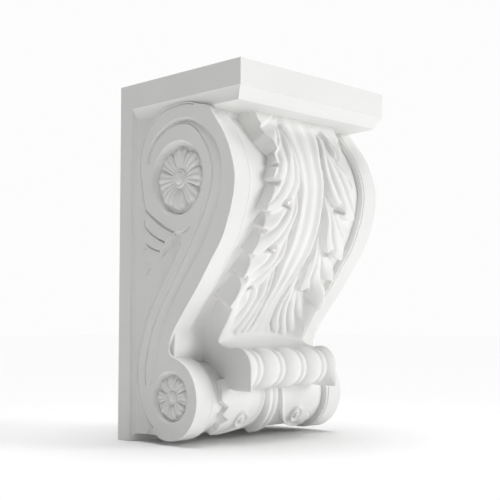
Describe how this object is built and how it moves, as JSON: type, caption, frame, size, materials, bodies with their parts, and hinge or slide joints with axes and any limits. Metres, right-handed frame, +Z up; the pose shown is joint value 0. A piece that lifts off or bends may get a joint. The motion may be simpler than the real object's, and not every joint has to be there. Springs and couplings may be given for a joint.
{
  "type": "scrolled wall corbel",
  "caption": "White moulded wall corbel: S-scroll sides with rosettes, a high-relief acanthus leaf that rolls over the lower scroll, a back plate and a plain moulded top block.",
  "frame": {"origin": "centre of the flat back face, where the corbel meets the wall", "axes": "+Z up, +Y into the wall (the corbel stands out toward -Y), +X to the right seen from the front; the corbel is symmetric about X = 0"},
  "size_m": [0.196, 0.16, 0.33],
  "materials": {
    "casting": "smooth white primer"
  },
  "bodies": {
    "root": {"corbel": "casting"}
  },
  "joints": []
}
